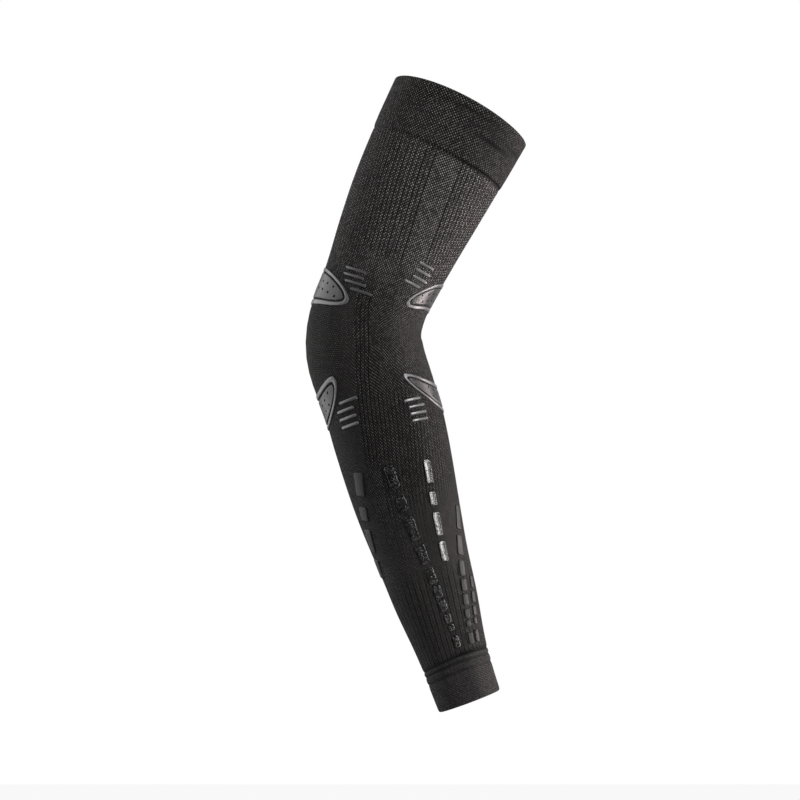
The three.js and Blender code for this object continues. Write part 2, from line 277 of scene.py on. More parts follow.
def section_values():
    """The columns of the arm's sections, with the sizes that they give."""
    rows = [dict(zip(SECTION_COLUMNS, row)) for row in ARM_SECTIONS]
    values = {name: np.array([row[name] for row in rows], float) for name in SECTION_COLUMNS}
    values["station"] = np.array([station_of(row["along"]) for row in rows])
    rim_width = np.where(values["along"] < 0, UPPER_WIDTH, WRIST_WIDTH)
    width = ELBOW_WIDTH + (rim_width - ELBOW_WIDTH) * values["spread"]
    values["lean"] = ELBOW_BEND * values["turn"] - UPPER_LEAN
    values["half_width"] = width / 2
    values["half_depth"] = width * values["depth"] / 2
    values["twist"] = np.radians(values["twist"])
    return values


SECTIONS = section_values()


def section(column, station):
    """A column of the sections at each station, on a smooth curve through the rows."""
    knots, values = SECTIONS["station"], SECTIONS[column]
    slopes = np.empty_like(values)
    slopes[1:-1] = (values[2:] - values[:-2]) / (knots[2:] - knots[:-2])
    slopes[0] = (values[1] - values[0]) / (knots[1] - knots[0])
    slopes[-1] = (values[-1] - values[-2]) / (knots[-1] - knots[-2])
    station = np.clip(station, knots[0], knots[-1])
    i = np.clip(np.searchsorted(knots, station, side="right") - 1, 0, len(knots) - 2)
    step = knots[i + 1] - knots[i]
    t = (station - knots[i]) / step
    ease = t * t * (3 - 2 * t)
    bend = step * t * (1 - t) * (slopes[i] * (1 - t) - slopes[i + 1] * t)
    return values[i] + (values[i + 1] - values[i]) * ease + bend


def walk_axis():
    """The arm's axis through the elbow's centre, in steps of a millimetre both ways."""
    spare = 12
    stations = np.arange(-UPPER_LENGTH - spare, FOREARM_LENGTH + spare + 1)
    lean = section("lean", stations[:-1] + 0.5)
    x = np.concatenate(([0.0], np.cumsum(np.sin(lean))))
    z = np.concatenate(([0.0], np.cumsum(-np.cos(lean))))
    elbow = np.argmin(np.abs(stations))
    return stations, x - x[elbow], z - z[elbow]


AXIS_STATIONS, AXIS_X, AXIS_Z = walk_axis()


def form(station, angle):
    """Points of the arm's bare form. The angle runs from the front line towards the inner side."""
    lines, bow, slant = np.array(ARM_LINES).T
    drop = np.interp(station, lines, bow) * np.cos(angle) ** 2
    station = station + drop - np.interp(station, lines, slant) / 2 * np.sin(angle)
    lean = section("lean", station)
    across = section("half_width", station) * np.sin(angle)
    narrowed = 1 + section("point", station) * np.sin(angle)
    outwards = section("half_depth", station) * np.cos(angle) * narrowed
    x = np.interp(station, AXIS_STATIONS, AXIS_X) + across * np.cos(lean)
    z = np.interp(station, AXIS_STATIONS, AXIS_Z) + across * np.sin(lean)
    return np.stack((x, -outwards, z), axis=-1)


def skin(station, angle, height):
    """Points at a height above the form, square to it."""
    nudge = 0.4
    turn = nudge / section("half_width", station)
    along = form(station + nudge, angle) - form(station - nudge, angle)
    across = form(station, angle + turn) - form(station, angle - turn)
    normal = np.cross(along, across)
    normal /= np.linalg.norm(normal, axis=-1, keepdims=True)
    return form(station, angle) + normal * np.asarray(height)[..., None]


def inner_share(angle):
    """1 on the inner side of the arm, falling to 0 on the outer side."""
    steepness, middle = 1.6, 0.4
    return np.clip(np.sin(angle) * steepness + middle, 0, 1)


# Meshes

def deselect():
    if bpy.context.object and bpy.context.object.mode != "OBJECT":
        bpy.ops.object.mode_set(mode="OBJECT")
    bpy.ops.object.select_all(action="DESELECT")


def pick(piece):
    """Selects one piece alone and makes it the active one."""
    deselect()
    piece.select_set(True)
    bpy.context.view_layer.objects.active = piece


def edit(*steps):
    """Runs edit-mode operators on the whole of the active mesh."""
    bpy.ops.object.mode_set(mode="EDIT")
    bpy.ops.mesh.select_all(action="SELECT")
    for step, options in steps:
        step(**options)
    bpy.ops.object.mode_set(mode="OBJECT")


def corners(piece):
    """A piece's corners in its own coordinates, a row each."""
    points = np.empty(len(piece.data.vertices) * 3)
    piece.data.vertices.foreach_get("co", points)
    return points.reshape(-1, 3)


def move_corners(piece, points):
    piece.data.vertices.foreach_set("co", points.ravel())
    piece.data.update()


def place(piece, points):
    """Puts a piece's corners at points given in millimetres."""
    move_corners(piece, points * MM)


def apply_modifier(piece, kind, **settings):
    modifier = piece.modifiers.new(kind, kind)
    for name, value in settings.items():
        setattr(modifier, name, value)
    pick(piece)
    bpy.ops.object.modifier_apply(modifier=modifier.name)


def smooth(piece, degrees=60):
    """Shades a piece smoothly but for edges that are sharper than an angle."""
    pick(piece)
    bpy.ops.object.shade_smooth_by_angle(angle=math.radians(degrees))


def round_grid(name, columns, rows):
    """A grid to be laid round the arm. Returns it with its shares round and up the arm."""
    deselect()
    bpy.ops.mesh.primitive_grid_add(x_subdivisions=columns, y_subdivisions=rows, size=2)
    piece = bpy.context.object
    piece.name = piece.data.name = name
    shares = (corners(piece)[:, :2] + 1) / 2
    return piece, shares[:, 0], shares[:, 1]


def close_round(piece):
    """Joins the edges of a grid that has been laid round the arm, and turns its faces outwards."""
    pick(piece)
    edit(
        (bpy.ops.mesh.remove_doubles, {"threshold": MERGE_DISTANCE * MM}),
        (bpy.ops.mesh.normals_make_consistent, {"inside": False}))


def warp_rows(piece, warp):
    """Moves the UV map's rows as the grid's rows are moved."""
    layer = piece.data.uv_layers.active.uv
    points = np.empty(len(layer) * 2, np.float32)
    layer.foreach_get("vector", points)
    points = points.reshape(-1, 2)
    points[:, 1] = warp(points[:, 1])
    layer.foreach_set("vector", points.ravel())


def set_attribute(piece, name, values):
    attribute = piece.data.attributes.new(name, "FLOAT", "POINT")
    attribute.data.foreach_set("value", np.asarray(values, np.float32))


def settle(piece, slot, material, *nodes):
    """Gives a finished piece its finish, its body and the CAD nodes that it stands for."""
    piece.data.materials.clear()
    piece.data.materials.append(material)
    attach(piece, "root")
    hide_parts(*nodes)


# Materials

def linear(colour):
    """An sRGB hex colour as linear values."""
    channels = [int(colour[i:i + 2], 16) / 255 for i in (1, 3, 5)]
    return [c / 12.92 if c <= 0.04045 else ((c + 0.055) / 1.055) ** 2.4 for c in channels] + [1.0]


def add_node(tree, kind, inputs=None, **settings):
    """Adds a node with its settings. An input is a value, or the socket that feeds it."""
    node = tree.nodes.new(kind)
    for name, value in settings.items():
        setattr(node, name, value)
    for socket, value in (inputs or {}).items():
        if isinstance(value, bpy.types.NodeSocket):
            tree.links.new(value, node.inputs[socket])
        else:
            node.inputs[socket].default_value = value
    return node


def new_material(name):
    """A material with its tree and its principled shader."""
    material = bpy.data.materials.new(name)
    material.use_nodes = True
    return material, material.node_tree, material.node_tree.nodes["Principled BSDF"]


def stitches(tree, courses):
    """The face of a bird's-eye knit: each stitch has two legs that lean together downwards, and
    every second one is held back. Returns the stitch's height, the number of its wale, its own
    random value, and 1 for the stitches that stand out."""
    uv = add_node(tree, "ShaderNodeUVMap", uv_map="UVMap").outputs[0]
    counts = add_node(
        tree, "ShaderNodeVectorMath", {0: uv, 1: (WALES, courses, 0)}, operation="MULTIPLY").outputs[0]
    axes = add_node(tree, "ShaderNodeSeparateXYZ", {0: counts}).outputs
    slant = add_node(tree, "ShaderNodeAttribute", attribute_name="slant").outputs["Fac"]
    share = add_node(tree, "ShaderNodeMath", {0: axes[0]}, operation="FRACT").outputs[0]
    middle = add_node(tree, "ShaderNodeMath", {0: share, 1: 0.5}, operation="SUBTRACT").outputs[0]
    off_middle = add_node(tree, "ShaderNodeMath", {0: middle}, operation="ABSOLUTE").outputs[0]
    leaning = add_node(
        tree, "ShaderNodeMath", {0: off_middle, 1: -0.5, 2: axes[1]}, operation="MULTIPLY_ADD").outputs[0]
    course = add_node(tree, "ShaderNodeMath", {0: leaning, 1: slant}, operation="ADD").outputs[0]
    course_share = add_node(tree, "ShaderNodeMath", {0: course}, operation="FRACT").outputs[0]
    wale_turn = add_node(tree, "ShaderNodeMath", {0: share, 1: math.pi}, operation="MULTIPLY").outputs[0]
    across = add_node(tree, "ShaderNodeMath", {0: wale_turn}, operation="SINE").outputs[0]
    loop_turn = add_node(
        tree, "ShaderNodeMath", {0: course_share, 1: math.pi}, operation="MULTIPLY").outputs[0]
    loop = add_node(tree, "ShaderNodeMath", {0: loop_turn}, operation="SINE").outputs[0]
    height = add_node(tree, "ShaderNodeMath", {0: across, 1: loop}, operation="MULTIPLY").outputs[0]
    wale_number = add_node(tree, "ShaderNodeMath", {0: axes[0]}, operation="FLOOR").outputs[0]
    course_number = add_node(tree, "ShaderNodeMath", {0: course}, operation="FLOOR").outputs[0]
    number = add_node(tree, "ShaderNodeCombineXYZ", {0: wale_number, 1: course_number}).outputs[0]
    own = add_node(
        tree, "ShaderNodeTexWhiteNoise", {"Vector": number}, noise_dimensions="2D").outputs["Value"]
    diagonal = add_node(
        tree, "ShaderNodeMath", {0: wale_number, 1: course_number}, operation="ADD").outputs[0]
    halved = add_node(tree, "ShaderNodeMath", {0: diagonal, 1: 0.5}, operation="MULTIPLY").outputs[0]
    odd = add_node(tree, "ShaderNodeMath", {0: halved}, operation="FRACT").outputs[0]
    proud = add_node(tree, "ShaderNodeMath", {0: odd, 1: 2.0}, operation="MULTIPLY").outputs[0]
    return height, wale_number, own, proud


def open_share(tree, wale_number):
    """What is left of a stitch's face where painted shade darkens it: in the sunk wales of the ribs,
    and by the held attribute in seams, folds and sunk lines; 1 where nothing is held back.
    """
    in_rib = add_node(
        tree, "ShaderNodeMath", {0: wale_number, 1: WALES_PER_RIB}, operation="FLOORED_MODULO").outputs[0]
    held_painted_shade = add_node(tree, "ShaderNodeAttribute", attribute_name="held").outputs["Fac"]
    left = add_node(tree, "ShaderNodeMath", {0: 1.0, 1: held_painted_shade}, operation="SUBTRACT").outputs[0]
    for wale, attribute in ((FIRST_WALE, "first_sunk"), (SECOND_WALE, "second_sunk")):
        here = add_node(tree, "ShaderNodeMath", {0: in_rib, 1: wale, 2: 0.5}, operation="COMPARE").outputs[0]
        held = add_node(tree, "ShaderNodeAttribute", attribute_name=attribute).outputs["Fac"]
        taken = add_node(tree, "ShaderNodeMath", {0: here, 1: held}, operation="MULTIPLY").outputs[0]
        left = add_node(tree, "ShaderNodeMath", {0: left, 1: taken}, operation="SUBTRACT").outputs[0]
    return left


def knit_material(name, courses, dark, light, relief):
    """Black textured nylon and elastane, weft knitted, and matt. Its colour is painted: near black in
    the gaps between the stitches, as painted shade, and lighter on single stitches, as a painted glint
    that differs at random from stitch to stitch."""
    material, tree, shader = new_material(name)
    height, wale_number, own, proud = stitches(tree, courses)
    lively = add_node(tree, "ShaderNodeAttribute", attribute_name="lively").outputs["Fac"]
    painted_glint = add_node(
        tree, "ShaderNodeMath", {0: own, 1: STITCH_SPREAD, 2: STITCH_LEAST},
        operation="MULTIPLY_ADD").outputs[0]
    standing = add_node(
        tree, "ShaderNodeMath", {0: proud, 1: 1 - STITCH_HELD, 2: STITCH_HELD},
        operation="MULTIPLY_ADD").outputs[0]
    sparkle = add_node(tree, "ShaderNodeMath", {0: painted_glint, 1: standing}, operation="MULTIPLY").outputs[0]
    plain = 0.5
    change = add_node(tree, "ShaderNodeMath", {0: sparkle, 1: plain}, operation="SUBTRACT").outputs[0]
    shade = add_node(
        tree, "ShaderNodeMath", {0: change, 1: lively, 2: plain}, operation="MULTIPLY_ADD").outputs[0]
    # Painted shade in the ribs' sunk wales, the seams, the folds and the sunk lines takes light colour off
    # the stitch's face
    left = open_share(tree, wale_number)
    face = add_node(tree, "ShaderNodeMath", {0: height, 1: left}, operation="MULTIPLY").outputs[0]
    lit = add_node(tree, "ShaderNodeMath", {0: face, 1: shade}, operation="MULTIPLY").outputs[0]
    tone_along_arm = add_node(tree, "ShaderNodeAttribute", attribute_name="tone").outputs["Fac"]
    tone = add_node(tree, "ShaderNodeMath", {0: lit, 1: tone_along_arm}, operation="MULTIPLY").outputs[0]
    # Painted glint and shade: near black where the tone is low, the lighter colour where it is high
    colour = add_node(
        tree, "ShaderNodeMix", {0: tone, 6: linear(dark), 7: linear(light)}, data_type="RGBA",
        clamp_factor=False).outputs[2]
    bump = add_node(tree, "ShaderNodeBump", {"Strength": 1.0, "Distance": relief * MM, "Height": face})
    tree.links.new(colour, shader.inputs["Base Color"])
    tree.links.new(bump.outputs[0], shader.inputs["Normal"])
    shader.inputs["Roughness"].default_value = 0.72
    shader.inputs["IOR"].default_value = 1.25
    return material


def silicone_material(name, colour, roughness, ior, relief):
    """Screen-printed silicone over the knit. Pimples of the given relief make it glitter."""
    material, tree, shader = new_material(name)
    position = add_node(tree, "ShaderNodeTexCoord").outputs["Object"]
    cells = add_node(
        tree, "ShaderNodeTexVoronoi", {"Vector": position, "Scale": 1 / (PIMPLE_PITCH * MM)}).outputs[0]
    pimple = add_node(
        tree, "ShaderNodeMapRange",
        {"Value": cells, "From Min": 0.1, "From Max": 0.5, "To Min": 1.0, "To Max": 0.0},
        interpolation_type="SMOOTHSTEP").outputs[0]
    bump = add_node(tree, "ShaderNodeBump", {"Strength": 1.0, "Distance": relief * MM, "Height": pimple})
    tree.links.new(bump.outputs[0], shader.inputs["Normal"])
    shader.inputs["Base Color"].default_value = linear(colour)
    shader.inputs["Roughness"].default_value = roughness
    shader.inputs["IOR"].default_value = ior
    return material


# The knitted tube

def panel_mask(top, bottom, start, end, station, wale_angle):
    """1 inside a panel of the knit, falling to 0 over a few courses and one wale at its edges."""
    fade = 9.0
    along = np.clip(np.minimum(station - station_of(top), station_of(bottom) - station) / fade + 0.5, 0, 1)
    if end - start >= 360:
        return along
    turn = (wale_angle + math.pi) % (2 * math.pi) - math.pi
    inside = np.minimum(turn - math.radians(start), math.radians(end) - turn)
    return along * np.clip(inside / WALE_ANGLE + 0.5, 0, 1)


def sunk_wale(around, number):
    """1 in the middle of one wale of each rib, falling to 0 beside it."""
    wale = (around * WALES - number - 0.5) % WALES_PER_RIB
    off = np.minimum(wale, WALES_PER_RIB - wale)
    return np.exp(-(off / GROOVE_BREADTH) ** 2)


def rib_shares(station, wale_angle):
    """How much the first and the second sunk wale of each rib are held back: sunk into the knit, and painted
    darker as shade.
    """
    first, second = np.zeros_like(station), np.zeros_like(station)
    for values in RIB_PANELS:
        panel = dict(zip(RIB_COLUMNS, values))
        mask = panel_mask(panel["top"], panel["bottom"], panel["start"], panel["end"], station, wale_angle)
        first = np.maximum(first, mask * panel["groove"])
        second = np.maximum(second, mask * panel["second"])
    return first, second


def crowd(share, end_step):
    """Moves the rows of a grid towards both its ends, where a step gets shorter by the given share."""
    return share - (1 - end_step) * np.sin(2 * math.pi * share) / (2 * math.pi)


def build_tube():
    """The tube: a grid laid round the arm, with its ribs sunk in, and given the knit's thickness."""
    top = -UPPER_LENGTH + BAND_HEIGHT - TUCK_LENGTH
    bottom = FOREARM_LENGTH - CUFF_HEIGHT + TUCK_LENGTH
    columns, rows, end_step = 2 * WALES, 90, 0.4
    piece, around, up = round_grid("sleeve_tube", columns, rows)
    warp_rows(piece, lambda share: crowd(share, end_step))
    station = bottom + (top - bottom) * crowd(up, end_step)
    wale_angle = (around * 2 - 1) * math.pi
    angle = wale_angle + section("twist", station)
    first, second = rib_shares(station, wale_angle)
    sunk = first * sunk_wale(around, FIRST_WALE) + second * sunk_wale(around, SECOND_WALE)
    seam = np.minimum(station - top, bottom - station) / (2 * TUCK_LENGTH)
    height = KNIT_STAND - GROOVE_DEPTH * sunk - TUCK_DEPTH * np.clip(1 - seam, 0, 1) ** 2
    place(piece, skin(station, angle, height))

    zigzag = np.abs((wale_angle / (ZIGZAG_WALES * WALE_ANGLE)) % 2 - 1)
    near = np.clip(1 - (np.abs(station - ZIGZAG_MIDDLE) / ZIGZAG_REACH) ** 4, 0, 1)
    set_attribute(piece, "slant", zigzag * ZIGZAG_RISE * near)
    # Through these the sunk wales are also painted darker, as shade
    set_attribute(piece, "first_sunk", first)
    set_attribute(piece, "second_sunk", second)

    # Painted shadow beside the band and the cuff, most on the inner side: the held attribute darkens the
    # stitches there
    least, more, reach = 0.5, 0.7, 1.3
    held = (least + more * inner_share(angle)) * np.clip(reach - seam, 0, 1)
    set_attribute(piece, "held", np.clip(held, 0, 1))
    smooth_side = panel_mask(*SMOOTH_PANEL, station, wale_angle)
    stations, lively, tone = np.array(KNIT_LOOK).T
    set_attribute(piece, "lively", np.interp(station, stations, lively) * (1 - SMOOTHING * smooth_side))
    set_attribute(piece, "tone", np.interp(station, stations, tone))

    close_round(piece)
    apply_modifier(piece, "SOLIDIFY", thickness=KNIT_WALL * MM, offset=-1)
    smooth(piece)
    cloth = knit_material(
        "Ribbed nylon knit", (bottom - top) / COURSE, dark="#040404", light="#858180", relief=0.40)
    settle(piece, "body_knit", cloth, "upper_arm_knit", "elbow_knit", "forearm_knit")


# The turned band and cuff

def even_outline(points):
    """The length of a closed outline of stations and heights, and a function that reads it evenly."""
    loop = np.array(list(points) + [points[0]])
    lengths = np.concatenate(([0.0], np.cumsum(np.hypot(*np.diff(loop, axis=0).T))))
    return lengths[-1], lambda share: [np.interp(share * lengths[-1], lengths, loop[:, i]) for i in (0, 1)]


def build_welt(name, node, outline, columns, rows, held, lively, flat, cloth_name, **colours_and_relief):
    """A turned welt: its wall's outline carried round the arm as a closed shell of knit. held gives
    how far it is sunk at a station and an angle, and how much darker it is painted there as shade,
    and lively how much its stitches stand out."""
    piece, around, up = round_grid(name, columns, rows)
    around_length, outline_at = even_outline(outline)
    station, height = outline_at(up)
    wale_angle = (around * 2 - 1) * math.pi
    angle = wale_angle + section("twist", station)
    outer = np.clip(height + 1, 0, 1)
    height = height - WELT_SINK * held(station, angle) * outer
    place(piece, skin(station, angle, height))
    for attribute in ("slant", "first_sunk", "second_sunk"):
        set_attribute(piece, attribute, np.zeros_like(station))
    # The held attribute paints the folds, lines and seam darker, as shade
    set_attribute(piece, "held", np.clip(held(station, angle), 0, 1))
    set_attribute(piece, "lively", np.full_like(station, lively))
    set_attribute(piece, "tone", np.ones_like(station))
    close_round(piece)
    smooth(piece)
    cloth = knit_material(cloth_name, around_length / COURSE, **colours_and_relief)
    settle(piece, "welt_knit", cloth, node)


def build_band():
    """The band. Its outline gives stations and heights over the arm's form."""
    top = -UPPER_LENGTH
    bottom = top + BAND_HEIGHT
    wall = WELT_WALL
    outline = (
        (bottom + 0.3, -1.3), (bottom + 0.1, -0.4), (bottom - 0.7, 0.25), (bottom - 2.2, 0.55),
        (bottom - 9, 0.7), (top + 11, 0.7), (top + 1, 0.66), (top + 0.25, 0.45), (top, -0.1),
        (top + 0.05, -1.2), (top + 0.7, -1.8), (top + 2, -wall), (bottom - 2, -wall),
        (bottom - 0.4, -wall + 0.2),
    )

    def creases(station, angle):
        """How far the band is sunk and painted darker: its folds, with painted shadow in them, its inner
        side, sunk a little and painted darker as shade, and its seam, a painted shadow line.
        """
        side = inner_share(angle - 0.25)
        # The inner side is sunk a little and painted darker, as shade
        sink_and_painted_shade = 0.5 * side
        for values in BAND_FOLDS:
            fold = dict(zip(FOLD_COLUMNS, values))
            off = (station - top - fold["below"]) / fold["breadth"]
            turned = ((np.degrees(angle) - fold["angle"] + 180) % 360 - 180) / fold["reach"]
            sink_and_painted_shade = sink_and_painted_shade + fold["depth"] * np.exp(-off ** 2 - turned ** 2)
        # The seam below the band is a painted shadow line, darkest on the inner side
        fade, seam_below, seam_breadth = 4, 0.3, 1.7
        seam = np.exp(-((station - bottom - seam_below) / seam_breadth) ** 2)
        return sink_and_painted_shade * np.clip((bottom - station) / fade, 0, 1) + (0.4 + 0.8 * side) * seam

    build_welt(
        "turned_band", "upper_band", outline[::-1], columns=240, rows=100, held=creases, lively=1.0,
        flat=(0.27, 0.036), cloth_name="Double nylon knit of the band", dark="#040404", light="#807c7b",
        relief=0.35)


def build_cuff():
    """The cuff. Its outline gives stations and heights over the arm's form."""
    top = FOREARM_LENGTH - CUFF_HEIGHT
    bottom = FOREARM_LENGTH
    wall = WELT_WALL
    outline = (
        (top - 0.2, -1.2), (top + 0.1, -0.5), (top + 0.9, 0.1), (top + 1.8, 0.25), (top + 2.8, 0.25),
        (top + 3.6, 0.18), (top + 4.4, 0.14), (top + 5.2, 0.24), (top + 6.4, 0.42), (top + 7.6, 0.45),
        (top + 8.6, 0.38), (top + 9.2, 0.2), (top + 10.2, 0.25), (top + 12, 0.42), (bottom - 2, 0.42),
        (bottom - 0.5, 0.2), (bottom, -0.4), (bottom - 0.1, -1.3), (bottom - 0.8, -1.85),
        (bottom - 2, -wall), (top + 2, -wall), (top + 0.4, -wall + 0.2),
    )

    def lines(station, _):
        """The cuff's sunk lines, the same all round, each also painted darker as shadow in the line."""
        return sum(depth * np.exp(-((station - top - below) / breadth) ** 2)
                   for below, breadth, depth in CUFF_LINES)

    build_welt(
        "turned_cuff", "wrist_cuff", outline, columns=200, rows=120, held=lines, lively=0.4,
        flat=(0.14, 0.029), cloth_name="Double nylon knit of the cuff", dark="#050506", light="#777373",
        relief=0.25)


# The printed grips

def lay_at(station, angle):
    """Lays flat shapes on the form at a place: x runs round the arm from the front line towards
    the inner side, y up the arm, both in millimetres."""
    reach = 0.5
    turn = reach / ELBOW_WIDTH
    across = np.linalg.norm(form(station, angle + turn) - form(station, angle - turn))
    along = np.linalg.norm(form(station + reach, angle) - form(station - reach, angle))

    def lay(x, y, height):
        return skin(station - 2 * reach * y / along, angle + 2 * turn * x / across, height)

    return lay


def wrap(piece, lay):
    """Lays a piece that was modelled flat, in millimetres, on the arm."""
    x, y, height = corners(piece).T
    place(piece, lay(x, y, height))
    pick(piece)
    edit((bpy.ops.mesh.normals_make_consistent, {"inside": False}))


def pick_edges(piece, chosen):
    """In edit mode, picks the edges whose two ends pass a test."""
    mesh = bmesh.from_edit_mesh(piece.data)
    for edge in mesh.edges:
        a, b = edge.verts
        edge.select = bool(chosen(a.co, b.co))
    mesh.select_flush_mode()
    bmesh.update_edit_mesh(piece.data)


def build_strip(name, node, length, width, lay, material):
    """A short printed strip with rounded corners and a rounded top edge, laid on the knit."""
    deselect()
    rise = PRINT_SINK + PRINT_CROWN
    bpy.ops.mesh.primitive_cube_add(size=1, location=(0, 0, 0))
    piece = bpy.context.object
    piece.name = piece.data.name = name
    bpy.ops.object.mode_set(mode="EDIT")
    bpy.ops.mesh.select_mode(type="EDGE")
    bpy.ops.mesh.select_all(action="SELECT")
    bpy.ops.transform.resize(value=(length, width, rise))
    bpy.ops.transform.translate(value=(0, 0, rise / 2 - PRINT_SINK))
    pick_edges(piece, lambda a, b: abs(a.z - b.z) > rise / 2)
    corner = min(STRIP_CORNER, 0.45 * width, 0.4 * length)
    bpy.ops.mesh.bevel(offset=corner, segments=4, affect="EDGES")
    pick_edges(piece, lambda a, b: min(a.z, b.z) > PRINT_CROWN - MERGE_DISTANCE)
    bpy.ops.mesh.bevel(offset=PRINT_ROUNDING, segments=3, affect="EDGES")
    step = 2
    for cut in np.arange(step - length / 2, length / 2 - step / 2, step):
        bpy.ops.mesh.select_all(action="SELECT")
        bpy.ops.mesh.bisect(plane_co=(cut, 0, 0), plane_no=(1, 0, 0))
    bpy.ops.object.mode_set(mode="OBJECT")
    wrap(piece, lay)
    smooth(piece, 50)
    settle(piece, "silicone_print", material, node)


def bean_at(pad, turn, margin):
    """A pad's bean shape at a turn of its outline, drawn in by a margin: the place along it, its
    middle line there and the height of its edge above that. The ends of the bean droop."""
    span = pad["half_span"] * ELBOW_WIDTH
    x = (span - margin) * np.cos(turn)
    middle = -pad["droop"] * span * (x / span) ** 2
    return x, middle, (pad["half_height"] * ELBOW_WIDTH - margin) * np.sin(turn)


def lay_pad(pad):
    """Lays a pad's shapes: x towards the front from the line that the pad is centred on, y away
    from the elbow."""
    lay = lay_at(station_of(pad["along"]), pad["side"] * math.pi / 2)
    return lambda x, y, height: lay(-pad["side"] * x, -math.copysign(1, pad["along"]) * y, height)


def build_ring(pad, material):
    """A pad's outline: a torus flattened into a low bead and drawn along the bean shape."""
    deselect()
    reach = 10.0
    bpy.ops.mesh.primitive_torus_add(
        major_segments=144, minor_segments=14, major_radius=reach, minor_radius=1)
    piece = bpy.context.object
    piece.name = piece.data.name = pad["name"] + "_grip_ring"
    x, y, height = corners(piece).T
    share = np.hypot(x, y) - reach
    side_power, top_power = 0.8, 0.35
    share = np.sign(share) * np.abs(share) ** side_power
    height = np.sign(height) * np.abs(height) ** top_power
    x, middle, edge = bean_at(pad, np.arctan2(y, x), PAD_RING_WIDTH / 2 * (1 - share))
    rise = np.where(height > 0, PRINT_CROWN * height, PRINT_SINK * height)
    move_corners(piece, np.stack((x, middle + edge, rise), axis=-1))
    wrap(piece, lay_pad(pad))
    smooth(piece, 60)
    settle(piece, "silicone_print", material, pad["name"] + "_pad_ring")


def field_at(pad, x):
    """The middle line of a pad's field at a place along it, and half its height there."""
    turn = np.arccos(np.clip(x / (pad["half_span"] * ELBOW_WIDTH - FIELD_MARGIN), -1, 1))
    return bean_at(pad, turn, FIELD_MARGIN)[1:]


def hole_places(pad):
    """The places of the holes in a pad's field, in two staggered rows along it."""
    places = []
    for row in (-0.5, 0.5):
        for i in range(-MOST_HOLES, MOST_HOLES + 1):
            x = HOLE_PITCH * (i + row / 2)
            middle, half = field_at(pad, x)
            if half - abs(row * HOLE_ROW_PITCH) > HOLE_ROOM:
                places.append((x, middle + row * HOLE_ROW_PITCH))
    return places


def build_field(pad, material):
    """A pad's field: a low crowned sheet inside the outline, with small round holes through it."""
    columns, rows, blunt = 76, 18, 0.015
    piece, along, across = round_grid(pad["name"] + "_grip_field", columns, rows)
    turn = math.pi * (1 - blunt - (1 - 2 * blunt) * along)
    x, middle, half = bean_at(pad, turn, FIELD_MARGIN)
    y = middle + np.sin((across - 0.5) * math.pi) * half
    move_corners(piece, np.stack((x, y, np.zeros_like(x)), axis=-1))
    thickness = 2
    apply_modifier(piece, "SOLIDIFY", thickness=thickness, offset=0)
    deselect()
    pins = []
    for x, y in hole_places(pad):
        bpy.ops.mesh.primitive_cylinder_add(
            vertices=16, radius=HOLE_WIDTH / 2, depth=2 * thickness, location=(x, y, 0))
        pins.append(bpy.context.object)
    for pin in pins:
        pin.select_set(True)
    bpy.ops.object.join()
    bpy.ops.object.transform_apply()
    cutter = bpy.context.object
    apply_modifier(piece, "BOOLEAN", operation="DIFFERENCE", solver="EXACT", object=cutter)
    bpy.data.objects.remove(cutter)
    x, y, height = corners(piece).T
    middle, half = field_at(pad, x)
    below_ring, edge_width, edge_fall = 0.1, 0.6, 0.4
    edge = np.clip(1 - (half - np.abs(y - middle)) / edge_width, 0, 1)
    rise = np.where(height > 0, PRINT_CROWN - below_ring - edge_fall * edge ** 2, -PRINT_SINK)
    move_corners(piece, np.stack((x, y, rise), axis=-1))
    wrap(piece, lay_pad(pad))
    smooth(piece, 40)
    settle(piece, "silicone_print", material, pad["name"] + "_pad_core")


def bean_edge(pad, height):
    """How far out a pad's upper edge first comes down to a height."""
    steps = 60
    turn = np.arange(steps) / steps * math.pi / 2
    x, middle, edge = bean_at(pad, turn, 0)
    return np.max(x, where=middle + edge >= height, initial=0)


def build_bars(pad, material):
    """The ladder of short bars beside a pad, each clear of the pad's outline."""
    lay = lay_pad(pad)
    for i in range(BARS_PER_PAD):
        height = pad["half_height"] * ELBOW_WIDTH + BAR_RISE - i * BAR_PITCH
        edge = bean_edge(pad, height - BAR_WIDTH / 2 - BAR_CLEARANCE) + BAR_CLEARANCE
        start = max(edge, BAR_START * pad["half_span"] * ELBOW_WIDTH)

        def lay_bar(x, y, rise):
            return lay(start + BAR_LENGTH / 2 + x, height + y, rise)

        ending = f"_bar_{i + 1}"
        build_strip(
            pad["name"] + "_grip" + ending, pad["name"] + ending, BAR_LENGTH, BAR_WIDTH, lay_bar, material)


def row_angle(row, along):
    """The angle of a row at a share of the forearm, on a parabola through its three angles."""
    start, end = DASHES[0][0], DASHES[-1][0]
    t = 2 * (along - start) / (end - start) - 1
    bent = (row["bottom"] + row["top"]) / 2 - row["middle"]
    return math.radians(row["middle"] + (row["bottom"] - row["top"]) / 2 * t + bent * t * t)


def build_row(row, material):
    """A row of dashes, each laid along the row's own line."""
    for number in range(row["first"], row["last"] + 1):
        along, length, width = DASHES[number - 1]
        along += row["drop"]
        station = station_of(along)
        reach = 0.02
        drift = row_angle(row, along + reach) - row_angle(row, along - reach)
        turn = math.atan2(2 * reach * FOREARM_LENGTH, -drift * section("half_width", station))
        across, up = math.cos(turn), math.sin(turn)
        lay = lay_at(station, row_angle(row, along))

        def lay_dash(x, y, rise):
            return lay(x * across - y * up, x * up + y * across, rise)

        build_strip(
            f"{row['name']}_grip_{number}", f"{row['name']}_dash_{number}", length * DASH_LENGTH,
            width * row["wide"] * DASH_WIDTH, lay_dash, material)


